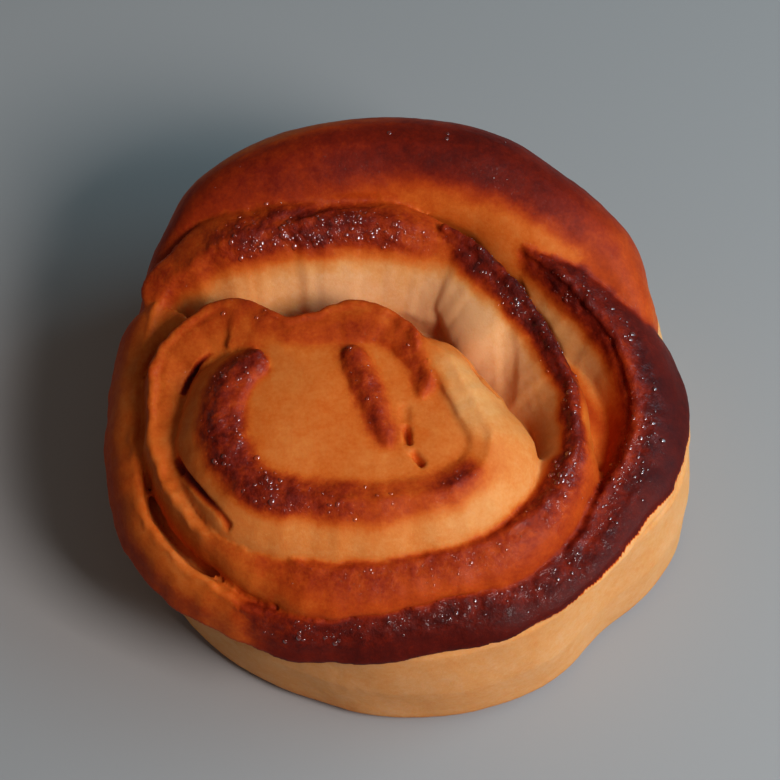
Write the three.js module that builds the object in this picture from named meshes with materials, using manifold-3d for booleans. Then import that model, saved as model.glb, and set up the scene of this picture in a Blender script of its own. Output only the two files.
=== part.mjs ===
// A rose brioche: one small enriched bun, baked upright in a round mould.
// A rolled strip of dough stands in a plain drum of dough. Its turns rose out of the mould, opened
// like the petals of a rose and browned along their crests, while the drum's side stayed pale.
// Millimetres, +Z up. The origin is the centre of the flat underside, and the mould's axis is Z.
// The bun is one piece of dough, so it is one solid: every petal is rooted in the drum.
import * as THREE from "three";
import { mergeVertices } from "three/addons/utils/BufferGeometryUtils.js";
import Module from "manifold-3d";

const wasm = await Module();
wasm.setup();

// ---- Driving sizes -------------------------------------------------------------------------
const MOULD_RADIUS = 44.1; // inside of the mould, so the radius of the drum's side
const SIDE_HEIGHT = 22.5; // the pale side, up to where the petals fold over it
const FOOT_ROUNDING = 2.6; // rounded edge round the underside
const CORE_HEIGHT = 27.5; // how high the drum fills the crown, under the gaps between the petals
const PAD_HEIGHT = 39.4; // the smooth end of the roll, in the middle of the crown
const PAD_FALL = 0.9; // how far the pad's dome falls to its edge
const PLUG_DEPTH = 2.6; // how far the dough inside the roll stays under the roll's edge
const PLUG_SPREAD = 0.98; // width of that dough at its root, as a share of the roll's
const PLUG_TAPER = 0.06; // how much narrower it is on top, as a share of the roll's width

// Where the side is higher: the direction in degrees, the height added and the half width.
const SIDE_RISE = [-36, 4.8, 38];
const RISE_FROM = 0.9; // share of the mould's radius beyond which it is higher

// Dents and bulges of the drum's side: [direction in degrees, depth out, half width in degrees].
const SIDE_BUMPS = [
  [250, -0.8, 14], [315, -2, 11], [342, 0.8, 12], [10, -2, 14], [110, 0.7, 20], [185, -0.6, 18],
];

// The petals, each as the line of its upper edge, clockwise seen from above. Every station says
// [x, y, height, slope to the inside: width, drop, slope to the outside: width, drop].
// inside and outside say how full the two slopes are: 1 is straight, 2 is round.
const PETALS = {
  back: {
    stations: [
      [-40, 7.5, 27, 3, 4, 3, 5], [-38.3, 14, 29.5, 3, 4, 4, 7], [-36, 22, 34.5, 5, 6, 4.8, 12],
      [-28.8, 28.2, 41.5, 8, 7, 8.6, 18], [-16.6, 32, 45.2, 8, 6.5, 11.2, 22],
      [-2.8, 33.2, 46.2, 8, 7, 11.6, 23], [11, 31.2, 45.6, 9, 8, 11.2, 22],
      [21.8, 25.7, 42.4, 11, 9, 10, 19], [29.5, 20.3, 38.4, 11, 9, 8.4, 15],
      [34.2, 13.8, 33.5, 8, 7, 4.9, 11], [35.8, 8.5, 29.5, 4, 4, 3, 7], [35, 2, 27, 3, 3, 3, 5],
    ],
    inside: 1.5,
    outside: 2.1,
  },
  innerBack: {
    stations: [
      [-38.5, 10.5, 31, 2.5, 3.5, 3, 1.5], [-36.5, 14.5, 34.3, 4, 6, 4.5, 1.2],
      [-31.9, 16.9, 38, 7, 9, 6, 1.4], [-25.7, 18.9, 41, 9, 11, 6, 2],
      [-13.5, 20.8, 42.6, 9.5, 11, 5, 2.6], [-3, 20.6, 42.2, 9.5, 11, 4.5, 2],
      [4, 18.8, 40.6, 9, 9, 4, 1.2], [11, 15, 38.8, 8, 7, 3, 1],
    ],
    inside: 1.15,
    outside: 1.6,
  },
  left: {
    stations: [
      [-19, -39, 25.3, 1, 3, 1.8, 5.5], [-25, -35.9, 27, 2.4, 2.4, 3.2, 6.8],
      [-32.4, -30.8, 28, 1, 3, 4.2, 7.6], [-38.9, -22.6, 28.2, 0.8, 3.6, 4.4, 7.4],
      [-40.9, -12, 28.2, 1.3, 5, 5.3, 7], [-41.2, -3, 28.6, 1.3, 6, 5.4, 7],
      [-40.2, 5, 29.5, 1.8, 4, 5.8, 7.5], [-38.2, 12, 32.4, 8, 1, 5.4, 8],
    ],
    inside: 1.6,
    outside: 1.8,
  },
  right: {
    stations: [
      [17, 19, 37.8, 2, 3, 2, 2], [23, 14.3, 37.5, 4, 6, 7, 6],
      [31.3, 4.6, 34.2, 5.5, 9, 10.2, 11], [33.9, -5, 32, 5.5, 9, 9.6, 7.5],
      [32.4, -12.5, 31, 4, 7, 9, 4.6], [28, -20.5, 30, 3.5, 6, 8.3, 3.6],
      [23.7, -28, 29.2, 2.5, 4, 6.8, 3], [12, -35, 29, 1.5, 2, 6.6, 4.2],
      [-2, -38, 28.6, 1.3, 2, 5.7, 6.4], [-14.6, -39.3, 28, 3, 1.2, 3.6, 8],
      [-24, -36.8, 27, 3.6, 1.6, 2.6, 7.4], [-30, -32.8, 26.5, 3, 2, 1.6, 6.5],
    ],
    inside: 1.02,
    outside: 1.7,
  },
  roll: {
    stations: [
      [5, 20.5, 41.3, 4, 5, 2, 4], [10.9, 16.4, 41, 9, 7, 2.5, 7],
      [16.8, 9.5, 39.5, 10, 7.5, 3, 10], [21.9, 0.5, 38, 9, 12, 3, 10],
      [24.3, -9, 36.6, 5, 8, 3.5, 9], [23.1, -18.5, 35, 4.5, 3, 5, 7],
      [14.6, -27.4, 33.8, 1.6, 1.2, 6.6, 5], [4.6, -31.1, 33.3, 1.2, 1.2, 6, 3.4],
      [-10.9, -33.2, 32.8, 1.2, 1.2, 7, 4], [-21.2, -29.8, 32.6, 1.2, 2, 6, 5.2],
      [-31.6, -25.8, 32.4, 4.5, 1, 2.2, 6], [-37.6, -15.8, 32.5, 5.8, 0.9, 1.6, 6.4],
      [-39, -6, 33.2, 7, 0.8, 1.6, 7], [-37.2, 2.6, 35, 8.5, 1, 2, 8],
      [-27.4, 8.6, 38.6, 7.5, 1.6, 2.2, 6], [-17.9, 5, 39.8, 6, 1.5, 1.5, 7],
      [-9.6, 6.9, 40.5, 6, 1.5, 1.3, 7], [-3.7, 5.5, 40.8, 5, 1.4, 1.6, 7],
      [0.7, 1.3, 40.5, 3, 1.1, 2.2, 4], [2.3, -3.8, 40, 2, 0.7, 2, 0.8],
      [1.4, -8.1, 39.6, 1.5, 0.5, 1.5, 0.5],
    ],
    inside: 1.2,
    outside: 1.8,
  },
  heart: {
    stations: [
      [1.7, 1.3, 40.2, 3, 0.4, 3.6, 6], [5.4, -2.2, 40.2, 3, 0.4, 4, 7],
      [9.4, -9, 40, 3, 0.4, 6, 7], [12, -15.9, 39.5, 3, 0.5, 7.4, 6.5],
      [9, -21.5, 39.3, 3, 0.5, 7, 6.5], [-2.1, -25.3, 39.2, 3, 0.5, 7, 6.6],
      [-16, -25.1, 39.2, 3, 0.5, 7.2, 6.8], [-24.1, -22.5, 39.2, 3, 0.6, 6.8, 6.8],
      [-27.7, -14.3, 39.6, 3, 0.8, 7, 6.8], [-26.7, -5.9, 40, 3, 1, 6.5, 6.5],
      [-22, -1, 40.2, 2.6, 1.2, 5, 4.5],
    ],
    inside: 2,
    outside: 1.35,
  },
  fold: {
    stations: [
      [-8.8, -0.5, 40.2, 1.8, 1.2, 2.6, 0.7], [-6.6, -8, 40.2, 1.8, 1.2, 2.6, 0.6],
      [-3.4, -16.6, 39.6, 1.4, 1, 2, 0.5],
    ],
    inside: 2,
    outside: 2,
  },
};

const STEP = 2.6; // spacing of the cross-sections along a crest
const SLOPE_STEPS = 4; // points down each side of a cross-section
const TIP_LENGTH = 4; // how far a petal takes to thin to its rounded tip
const TIP_EDGE = 0.4; // what is left of that length at the very tip
const CRAG = 0.35; // unevenness of the crests
const ROOT_HEIGHT = 18; // where the petals and the pad end, inside the drum
const ROOT_INSET = 3; // how far a root leans in, to stay inside the drum
const ROOT_WIDTH = 0.7; // width of a root, as a share of the slope to the inside
const PAD_MIDDLE = new THREE.Vector2(-8, -10); // top of the pad's low dome

// ---- Shapes --------------------------------------------------------------------------------

// A closed mesh from rings of equal length, closed by a point at either end.
function loft(rings) {
  const count = rings[0].length;
  const centre = (ring) =>
    ring.reduce((sum, p) => sum.add(p), new THREE.Vector3()).divideScalar(ring.length);
  const points = [...rings.flat(), centre(rings[0]), centre(rings.at(-1))];
  const faces = [];
  for (let i = 0; i + 1 < rings.length; i++)
    for (let k = 0; k < count; k++) {
      const a = i * count + k;
      const b = i * count + ((k + 1) % count);
      faces.push(a, b, b + count, a, b + count, a + count);
    }
  const last = (rings.length - 1) * count;
  for (let k = 0; k < count; k++) {
    const next = (k + 1) % count;
    faces.push(next, k, points.length - 2);
    faces.push(last + k, last + next, points.length - 1);
  }
  return new THREE.BufferGeometry().setFromPoints(points).setIndex(faces);
}

// The solid inside a closed mesh, whichever way round its faces were listed.
function solid(closed) {
  const bare = closed.clone();
  bare.deleteAttribute("normal");
  bare.deleteAttribute("uv");
  const merged = mergeVertices(bare, 1e-4);
  const vertProperties = merged.attributes.position.array;
  const triVerts = new Uint32Array(merged.index.array);
  let volume = 0;
  for (let i = 0; i < triVerts.length; i += 3) {
    const [a, b, c] = [0, 1, 2].map((k) =>
      new THREE.Vector3().fromArray(vertProperties, triVerts[i + k] * 3),
    );
    volume += a.dot(b.cross(c));
  }
  if (volume < 0) triVerts.reverse();
  return new wasm.Manifold(new wasm.Mesh({ numProp: 3, vertProperties, triVerts }));
}

// The smooth line through the stations' [x, y, height].
function crestLine(stations, closed = false) {
  const points = stations.map(([x, y, z]) => new THREE.Vector3(x, y, z));
  return new THREE.CatmullRomCurve3(points, closed, "centripetal");
}

// One side of a cross-section, from the crest at [0, 0] down to [width, -drop].
function slope(width, drop, fullness) {
  const points = [];
  for (let i = 1; i <= SLOPE_STEPS; i++) {
    const angle = (Math.PI / 2) * (i / SLOPE_STEPS);
    points.push([
      width * Math.sin(angle) ** (2 / fullness),
      drop * (Math.cos(angle) ** (2 / fullness) - 1),
    ]);
  }
  return points;
}

// One petal: its cross-section swept along its crest, thinning to a rounded tip at both ends.
function petal({ stations, inside, outside }) {
  const crest = crestLine(stations);
  const length = crest.getLength();
  const steps = Math.round(length / STEP);
  const rings = [];
  for (let i = 0; i <= steps; i++) {
    const t = crest.getUtoTmapping(i / steps);
    const top = crest.getPoint(t);
    const heading = crest.getTangent(t).setZ(0).normalize();
    const outward = new THREE.Vector3(-heading.y, heading.x, 0);

    const place = t * (stations.length - 1);
    const before = Math.min(stations.length - 2, Math.floor(place));
    const mix = THREE.MathUtils.smoothstep(place, before, before + 1);
    const size = (k) => THREE.MathUtils.lerp(stations[before][k], stations[before + 1][k], mix);

    const fromEnd = Math.min(i, steps - i) * (length / steps);
    const full = Math.min(1, (fromEnd + TIP_EDGE) / TIP_LENGTH);
    const thick = Math.sqrt(1 - (1 - full) ** 2);
    const along = (i * length) / steps;
    const crag = CRAG * Math.sin(along * 0.83) * Math.sin(along * 0.31 + 2);
    const inner = slope(size(3) * thick, size(4) * thick, inside);
    const outer = slope(size(5) * thick, size(6) * thick, outside);
    const profile = [
      [0, 0],
      ...outer,
      [-ROOT_INSET, ROOT_HEIGHT - top.z],
      [-ROOT_INSET - inner.at(-1)[0] * ROOT_WIDTH, ROOT_HEIGHT - top.z],
      ...inner.map(([across, up]) => [-across, up]).reverse(),
    ];
    rings.push(
      profile.map(([across, up]) =>
        top.clone().addScaledVector(outward, across).add(new THREE.Vector3(0, 0, up + crag)),
      ),
    );
  }
  return loft(rings);
}

// How far a swelling of the drum reaches in this direction, both in degrees.
function swell(direction, [at, size, halfWidth]) {
  const away = THREE.MathUtils.euclideanModulo(direction - at + 180, 360) - 180;
  return size * Math.exp(-((away / halfWidth) ** 2));
}

// The plain drum: a straight side with a rounded foot, drawn in to a low dome under the petals.
function drum() {
  const foot = new THREE.EllipseCurve(
    MOULD_RADIUS - FOOT_ROUNDING, FOOT_ROUNDING, FOOT_ROUNDING, FOOT_ROUNDING, -Math.PI / 2, 0,
  ).getPoints(3);
  const profile = [
    new THREE.Vector2(0, 0),
    ...foot,
    new THREE.Vector2(MOULD_RADIUS + 0.3, 0.5 * SIDE_HEIGHT),
    new THREE.Vector2(MOULD_RADIUS - 0.6, SIDE_HEIGHT - 1.5),
    new THREE.Vector2(MOULD_RADIUS - 1.8, SIDE_HEIGHT),
    new THREE.Vector2(MOULD_RADIUS - 5, SIDE_HEIGHT + 3.2),
    new THREE.Vector2(MOULD_RADIUS * 0.6, CORE_HEIGHT - 0.5),
    new THREE.Vector2(0, CORE_HEIGHT),
  ];
  const turned = new THREE.LatheGeometry(profile, 96).rotateX(Math.PI / 2);
  const place = turned.attributes.position;
  for (let i = 0; i < place.count; i++) {
    const radius = Math.hypot(place.getX(i), place.getY(i));
    const direction = THREE.MathUtils.radToDeg(Math.atan2(place.getY(i), place.getX(i)));
    const bump = SIDE_BUMPS.reduce((sum, row) => sum + swell(direction, row), 0);
    const scale = 1 + (bump / MOULD_RADIUS) * (radius / MOULD_RADIUS) ** 2;
    const height = place.getZ(i);
    const rise = radius > RISE_FROM * MOULD_RADIUS ? swell(direction, SIDE_RISE) : 0;
    place.setXYZ(
      i, place.getX(i) * scale, place.getY(i) * scale, height + rise * (height / SIDE_HEIGHT) ** 2,
    );
  }
  return turned;
}

// The smooth end of the roll: a low dome that fills the ring of the heart's crest, up to the last
// turn of the roll behind it.
function pad() {
  const lastTurn = PETALS.roll.stations.slice(-7, -3);
  const around = 44;
  const outline = crestLine([...PETALS.heart.stations, ...lastTurn], true).getSpacedPoints(around);
  const dome = [1, 0.7, 0.35].map((spread) => [spread, PAD_HEIGHT - PAD_FALL * spread ** 2.4]);
  return loft(
    [[1, ROOT_HEIGHT], ...dome].map(([spread, height]) =>
      outline.slice(0, around).map((p) => {
        const flat = PAD_MIDDLE.clone().lerp(new THREE.Vector2(p.x, p.y), spread);
        return new THREE.Vector3(flat.x, flat.y, height);
      }),
    ),
  );
}

// The dough inside the roll, which fills the gaps between its turns up to a little under its edge.
function plug() {
  const around = 44;
  const lowered = PETALS.roll.stations.slice(5, 18).map(([x, y, z]) => [x, y, z - PLUG_DEPTH]);
  const outline = crestLine(lowered, true).getSpacedPoints(around).slice(0, around);
  const middle = outline
    .reduce((sum, p) => sum.add(p), new THREE.Vector3())
    .divideScalar(around);
  const inset = (spread) => outline.map((p) => middle.clone().lerp(p, spread));
  return loft([
    inset(PLUG_SPREAD).map((p) => p.setZ(ROOT_HEIGHT)),
    inset(PLUG_SPREAD - PLUG_TAPER),
  ]);
}

// ---- The bun -------------------------------------------------------------------------------
let dough = solid(drum()).add(solid(pad())).add(solid(plug()));
for (const shape of Object.values(PETALS)) dough = dough.add(solid(petal(shape)));
const whole = dough.decompose().sort((a, b) => b.volume() - a.volume())[0].getMesh();

const surface = new THREE.BufferGeometry();
surface.setAttribute("position", new THREE.BufferAttribute(whole.vertProperties, 3));
surface.setIndex(new THREE.BufferAttribute(whole.triVerts, 1));
surface.computeVertexNormals();

const bakedCrust = new THREE.MeshStandardMaterial({ color: "#b5652c", roughness: 0.45, metalness: 0 });
const bun = new THREE.Mesh(surface, bakedCrust);
bun.name = "rose_brioche";

const brioche = new THREE.Group();
brioche.add(bun);

export default brioche;
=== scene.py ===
"""A rose brioche: one small enriched bun, baked upright in a round mould and glazed with egg.

A rolled strip of dough stands in a plain drum of dough, and its turns open like rose petals.
Everything is in metres, +Z up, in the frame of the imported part: the origin is the middle of the
flat underside. The dough's own sizes are given in millimetres and turned to metres with MM.
"""

import math

import bpy
import numpy as np
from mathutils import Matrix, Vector, bvhtree, kdtree, noise


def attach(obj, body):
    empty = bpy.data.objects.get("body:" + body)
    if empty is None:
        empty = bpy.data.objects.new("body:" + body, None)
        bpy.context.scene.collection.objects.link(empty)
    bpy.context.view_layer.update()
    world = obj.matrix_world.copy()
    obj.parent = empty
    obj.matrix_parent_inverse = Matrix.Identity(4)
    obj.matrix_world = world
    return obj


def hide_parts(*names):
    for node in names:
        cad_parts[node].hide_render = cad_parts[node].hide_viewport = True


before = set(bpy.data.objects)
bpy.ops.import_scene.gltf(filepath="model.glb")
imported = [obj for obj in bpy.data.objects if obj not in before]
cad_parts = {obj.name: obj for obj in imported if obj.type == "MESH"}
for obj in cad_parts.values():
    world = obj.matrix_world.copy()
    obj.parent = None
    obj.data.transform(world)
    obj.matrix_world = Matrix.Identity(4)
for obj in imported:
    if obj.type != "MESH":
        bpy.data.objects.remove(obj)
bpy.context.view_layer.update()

# ---- The baked crust: the dough's shape ---------------------------------------------------------
# One piece of enriched dough: a drum with a moulded side, and in it a rolled strip whose turns
# opened like petals. Each petal is swept along its upper edge, the drum and the dough inside the
# roll close the gaps, and all of them are fused further down, as dough fuses while it proves.
MM = 0.001

# Lengths are in millimetres and directions in degrees, 0 to the right and 90 to the back.
MOULD_RADIUS = 44.1  # inside of the mould
SIDE_HEIGHT = 22.5  # the pale side, up to where the petals fold over it
FOOT_ROUNDING = 2.6
CORE_HEIGHT = 27.5  # how high the drum fills the crown, under the gaps between the petals
PAD_HEIGHT = 39.4  # the smooth end of the roll, in the middle of the crown
PAD_MIDDLE = (-8.0, -10.0)
PAD_FALL = 0.9  # how far the pad's dome falls to its edge
PLUG_DEPTH = 2.6  # how far the dough inside the roll stays under the roll's edge
PLUG_SPREAD = 0.98  # its width at the foot, as a share of the roll's
PLUG_TAPER = 0.06  # how much less that share is at its top
PAD_WALL = 5  # how far below its top the pad's dome begins
PAD_FULLNESS = 2.4  # power of the dome's fall: 2 is round, more is flatter in the middle
PAD_RINGS = 9
DRUM_POINTS = 240  # points round the drum
PAD_POINTS = 160  # points round the pad and the plug
FOOT_POINTS = 8  # points up the foot's rounding

SIDE_RISE = (-36, 4.8, 38)  # where the side is higher: direction, height added, half width
RISE_FROM = 0.9  # share of the mould's radius beyond which it rises

# Dents and bulges of the drum's side: direction, how far out, half width.
SIDE_BUMPS = [(250, -0.8, 14), (315, -2, 11), (342, 0.8, 12), (10, -2, 14), (110, 0.7, 20), (185, -0.6, 18)]

# The petals, each as the line of its upper edge, clockwise seen from above. A station says
# [x, y, height, slope to the inside: width, drop, slope to the outside: width, drop].
# inside and outside say how full the two slopes are: 1 is straight, 2 is round. crag is how
# cracked the edge is, from 0 to 1, and torn how high its ragged skin stands. A browning row says
# [station, brownness of the edge, brownness of the inner slope, how far the edge's colour reaches
# down it, the same two for the outer slope].
PETALS = {
    "back": {
        "stations": [
            [-40, 7.5, 27, 3, 4, 3, 5], [-38.3, 14, 29.5, 3, 4, 4, 7], [-36, 22, 34.5, 5, 6, 4.8, 12],
            [-28.8, 28.2, 41.5, 8, 7, 8.6, 18], [-16.6, 32, 45.2, 8, 6.5, 11.2, 22],
            [-2.8, 33.2, 46.2, 8, 7, 11.6, 23], [11, 31.2, 45.6, 9, 8, 11.2, 22],
            [21.8, 25.7, 42.4, 11, 9, 10, 19], [29.5, 20.3, 38.4, 11, 9, 8.4, 15],
            [34.2, 13.8, 33.5, 8, 7, 4.9, 11], [35.8, 8.5, 29.5, 4, 4, 3, 7], [35, 2, 27, 3, 3, 3, 5],
        ],
        "inside": 1.5,
        "outside": 2.1,
        "crag": 0.1,
        "torn": 0,
        "browning": [
            [0, 0.5, 0.4, 6, 0.55, 8], [2, 0.61, 0.55, 7, 0.53, 7], [3, 0.69, 0.62, 8, 0.42, 6],
            [4, 0.73, 0.6, 10, 0.44, 4.5], [5, 0.8, 0.5, 9, 0.62, 6.5], [6, 0.88, 0.37, 9.5, 0.77, 8],
            [7, 0.8, 0.37, 6.5, 0.78, 9], [8, 0.62, 0.34, 6, 0.65, 8], [9, 0.53, 0.44, 7, 0.5, 5],
            [11, 0.5, 0.4, 6, 0.5, 5],
        ],
    },
    "innerBack": {
        "stations": [
            [-38.5, 10.5, 31, 2.5, 3.5, 3, 1.5], [-36.5, 14.5, 34.3, 4, 6, 4.5, 1.2],
            [-31.9, 16.9, 38, 7, 9, 6, 1.4], [-25.7, 18.9, 41, 9, 11, 6, 2],
            [-13.5, 20.8, 42.6, 9.5, 11, 5, 2.6], [-3, 20.6, 42.2, 9.5, 11, 4.5, 2],
            [4, 18.8, 40.6, 9, 9, 4, 1.2], [11, 15, 38.8, 8, 7, 3, 1],
        ],
        "inside": 1.15,
        "outside": 1.6,
        "crag": 0.9,
        "torn": 0.15,
        "browning": [
            [0, 0.5, 0.2, 5, 0.54, 4], [1, 0.58, 0.15, 5.5, 0.6, 4], [2, 0.56, 0.16, 7, 0.54, 4],
            [3, 0.7, 0.16, 7.5, 0.54, 5], [4, 0.77, 0.0, 9, 0.66, 5], [5, 0.68, 0.03, 8.5, 0.56, 4],
            [6, 0.56, 0.12, 6, 0.5, 4], [7, 0.3, 0.1, 6, 0.3, 4],
        ],
    },
    "left": {
        "stations": [
            [-19, -39, 25.3, 1, 3, 1.8, 5.5], [-25, -35.9, 27, 2.4, 2.4, 3.2, 6.8],
            [-32.4, -30.8, 28, 1, 3, 4.2, 7.6], [-38.9, -22.6, 28.2, 0.8, 3.6, 4.4, 7.4],
            [-40.9, -12, 28.2, 1.3, 5, 5.3, 7], [-41.2, -3, 28.6, 1.3, 6, 5.4, 7],
            [-40.2, 5, 29.5, 1.8, 4, 5.8, 7.5], [-38.2, 12, 32.4, 8, 1, 5.4, 8],
        ],
        "inside": 1.6,
        "outside": 1.8,
        "crag": 0.7,
        "torn": 0.35,
        "browning": [
            [0, 0.52, 0.3, 3, 0.54, 5], [1, 0.5, 0.25, 3, 0.48, 5], [2, 0.34, 0.26, 4, 0.57, 7],
            [3, 0.38, 0.28, 4, 0.6, 7], [4, 0.42, 0.2, 3, 0.54, 7], [5, 0.36, 0.3, 3, 0.53, 7],
            [6, 0.4, 0.4, 4, 0.52, 6], [7, 0.44, 0.42, 5, 0.5, 4],
        ],
    },
    "right": {
        "stations": [
            [17, 19, 37.8, 2, 3, 2, 2], [23, 14.3, 37.5, 4, 6, 7, 6],
            [31.3, 4.6, 34.2, 5.5, 9, 10.2, 11], [33.9, -5, 32, 5.5, 9, 9.6, 7.5],
            [32.4, -12.5, 31, 4, 7, 9, 4.6], [28, -20.5, 30, 3.5, 6, 8.3, 3.6],
            [23.7, -28, 29.2, 2.5, 4, 6.8, 3], [12, -35, 29, 1.5, 2, 6.6, 4.2],
            [-2, -38, 28.6, 1.3, 2, 5.7, 6.4], [-14.6, -39.3, 28, 3, 1.2, 3.6, 8],
            [-24, -36.8, 27, 3.6, 1.6, 2.6, 7.4], [-30, -32.8, 26.5, 3, 2, 1.6, 6.5],
        ],
        "inside": 1.02,
        "outside": 1.7,
        "crag": 0.6,
        "torn": 0.55,
        "browning": [
            [0, 0.64, 0.55, 3, 0.55, 3], [1, 0.87, 0.14, 6.5, 0.88, 4], [2, 0.74, 0.14, 6, 0.87, 4],
            [3, 0.68, 0.48, 4, 0.94, 4], [4, 0.7, 0.58, 3.5, 0.92, 3.5], [5, 0.74, 0.5, 3, 0.9, 4.5],
            [6, 0.84, 0.54, 3, 0.92, 6], [7, 0.82, 0.54, 3, 0.92, 4.5], [8, 0.88, 0.54, 2.5, 0.88, 5],
            [9, 0.82, 0.5, 2.5, 0.84, 5], [10, 0.63, 0.42, 2.5, 0.6, 6], [11, 0.55, 0.4, 2.5, 0.5, 5],
        ],
    },
    "roll": {
        "stations": [
            [5, 20.5, 41.3, 4, 5, 2, 4], [10.9, 16.4, 41, 9, 7, 2.5, 7],
            [16.8, 9.5, 39.5, 10, 7.5, 3, 10], [21.9, 0.5, 38, 9, 12, 3, 10],
            [24.3, -9, 36.6, 5, 8, 3.5, 9], [23.1, -18.5, 35, 4.5, 3, 5, 7],
            [14.6, -27.4, 33.8, 1.6, 1.2, 6.6, 5], [4.6, -31.1, 33.3, 1.2, 1.2, 6, 3.4],
            [-10.9, -33.2, 32.8, 1.2, 1.2, 7, 4], [-21.2, -29.8, 32.6, 1.2, 2, 6, 5.2],
            [-31.6, -25.8, 32.4, 4.5, 1, 2.2, 6], [-37.6, -15.8, 32.5, 5.8, 0.9, 1.6, 6.4],
            [-39, -6, 33.2, 7, 0.8, 1.6, 7], [-37.2, 2.6, 35, 8.5, 1, 2, 8],
            [-27.4, 8.6, 38.6, 7.5, 1.6, 2.2, 6], [-17.9, 5, 39.8, 6, 1.5, 1.5, 7],
            [-9.6, 6.9, 40.5, 6, 1.5, 1.3, 7], [-3.7, 5.5, 40.8, 5, 1.4, 1.6, 7],
            [0.7, 1.3, 40.5, 3, 1.1, 2.2, 4], [2.3, -3.8, 40, 2, 0.7, 2, 0.8],
            [1.4, -8.1, 39.6, 1.5, 0.5, 1.5, 0.5],
        ],
        "inside": 1.2,
        "outside": 1.8,
        "crag": 0.8,
        "torn": 0.4,
        "browning": [
            [0, 0.7, 0.3, 4, 0.7, 3], [1, 0.83, 0.02, 7.5, 0.86, 4], [2, 0.9, 0, 5, 0.9, 3],
            [3, 0.88, 0.06, 4.2, 0.84, 2.6], [4, 0.72, 0.18, 3.4, 0.36, 3.4],
            [5, 0.78, 0.16, 3.8, 0.56, 4], [6, 0.62, 0.3, 2.2, 0.58, 4.5], [7, 0.63, 0.5, 2.5, 0.56, 5],
            # stations 10 to 13: the outer slope down into the channel by the left petal is browner partly
            # from baking and partly as painted shade of that channel
            [8, 0.65, 0.55, 2.5, 0.54, 6.5], [9, 0.56, 0.5, 2.5, 0.42, 6], [10, 0.34, 0.26, 3, 0.44, 3.4],
            [11, 0.4, 0.34, 3, 0.44, 3.2], [12, 0.44, 0.4, 4, 0.46, 3],
            [13, 0.46, 0.46, 5, 0.6, 3], [14, 0.53, 0.44, 6, 0.45, 3], [15, 0.57, 0.5, 6, 0.53, 3],
            [16, 0.5, 0.6, 3.5, 0.46, 2.5], [17, 0.47, 0.6, 3.5, 0.46, 3],
            [18, 0.62, 0.54, 3.5, 0.56, 3], [19, 0.62, 0.6, 3, 0.58, 3], [20, 0.54, 0.5, 2, 0.54, 2],
        ],
    },
    "heart": {
        "stations": [
            [1.7, 1.3, 40.2, 3, 0.4, 3.6, 6], [5.4, -2.2, 40.2, 3, 0.4, 4, 7],
            [9.4, -9, 40, 3, 0.4, 6, 7], [12, -15.9, 39.5, 3, 0.5, 7.4, 6.5],
            [9, -21.5, 39.3, 3, 0.5, 7, 6.5], [-2.1, -25.3, 39.2, 3, 0.5, 7, 6.6],
            [-16, -25.1, 39.2, 3, 0.5, 7.2, 6.8], [-24.1, -22.5, 39.2, 3, 0.6, 6.8, 6.8],
            [-27.7, -14.3, 39.6, 3, 0.8, 7, 6.8], [-26.7, -5.9, 40, 3, 1, 6.5, 6.5],
            [-22, -1, 40.2, 2.6, 1.2, 5, 4.5],
        ],
        "inside": 2.0,
        "outside": 1.35,
        "crag": 0.8,
        "torn": 0.2,
        "browning": [
            [0, 0.5, 0.45, 3, 0.3, 5], [1, 0.16, 0.48, 3, 0.28, 5], [2, 0.1, 0.12, 3, 0.28, 9],
            [3, 0.26, 0.38, 4, 0.22, 7], [4, 0.5, 0.42, 4, 0.16, 4.5], [5, 0.56, 0.44, 4.5, 0.25, 6],
            [6, 0.7, 0.56, 4.5, 0.25, 5], [7, 0.76, 0.56, 5, 0.3, 5], [8, 0.74, 0.5, 5, 0.38, 6],
            [9, 0.71, 0.54, 5, 0.36, 5.5], [10, 0.74, 0.52, 4, 0.4, 4],
        ],
    },
    "fold": {
        "stations": [
            [-8.8, -0.5, 40.2, 1.8, 1.2, 2.6, 0.7], [-6.6, -8, 40.2, 1.8, 1.2, 2.6, 0.6],
            [-3.4, -16.6, 39.6, 1.4, 1, 2, 0.5],
        ],
        "inside": 2.0,
        "outside": 2.0,
        "crag": 0.8,
        "torn": 0.25,
        "browning": [
            [0, 0.66, 0.5, 2.5, 0.52, 3.5], [1, 0.68, 0.5, 2.5, 0.52, 3], [2, 0.62, 0.5, 2.5, 0.36, 3],
        ],
    },
}

RING_STEP = 0.7  # spacing of the cross-sections along an edge
SLOPE_STEPS = 10  # points down each side of a cross-section
TIP_LENGTH = 4.0  # how far a petal takes to thin to its rounded tip
TIP_EDGE = 0.4  # what is left of that length at the very tip
ROOT_HEIGHT = 18.0  # where the petals and the pad end, inside the drum
ROOT_INSET = 3.0  # how far inside its edge a petal's root begins
ROOT_WIDTH = 0.7  # as a share of the slope to the inside
EDGE_JITTER = 0.6  # how far a cracked edge rises and falls
EDGE_SWAY = 0.8  # how far it sways to the sides
EDGE_WAVES = ((0.6, 5.0), (0.4, 1.8))  # share and length of the waves in both
DRUM, PAD = "drum", "pad"

# The lower edge of the petals that fold over the side: directions and the edge's height there.
PETAL_FOOT = [
    (-180, 20.5), (-135, 20), (-117, 19), (-107, 19.8), (-98, 21.2), (-88, 22.6), (-78, 23.8), (-60, 26),
    (-40, 27.4), (-20, 27.4), (-5, 25.5), (20, 22.5), (60, 21.5), (120, 21), (180, 20.5),
]
PETAL_FOOT_SMOOTHING = 8  # how far to either side the height is averaged
PETAL_FOOT_WAVE = (0.3, 5)  # how far the edge waves up and down, and the length of a wave
RIM = 0.88  # share of the mould's radius beyond which a point is on the side or on such a petal


def grain(points, size, seed):
    """Smooth noise from -1 to 1 at these points, with features of that size."""
    shift = Vector((seed * 17.3, seed * 5.1, seed * 11.7))
    return np.array([noise.noise(Vector(p) / size + shift) for p in points])


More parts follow.
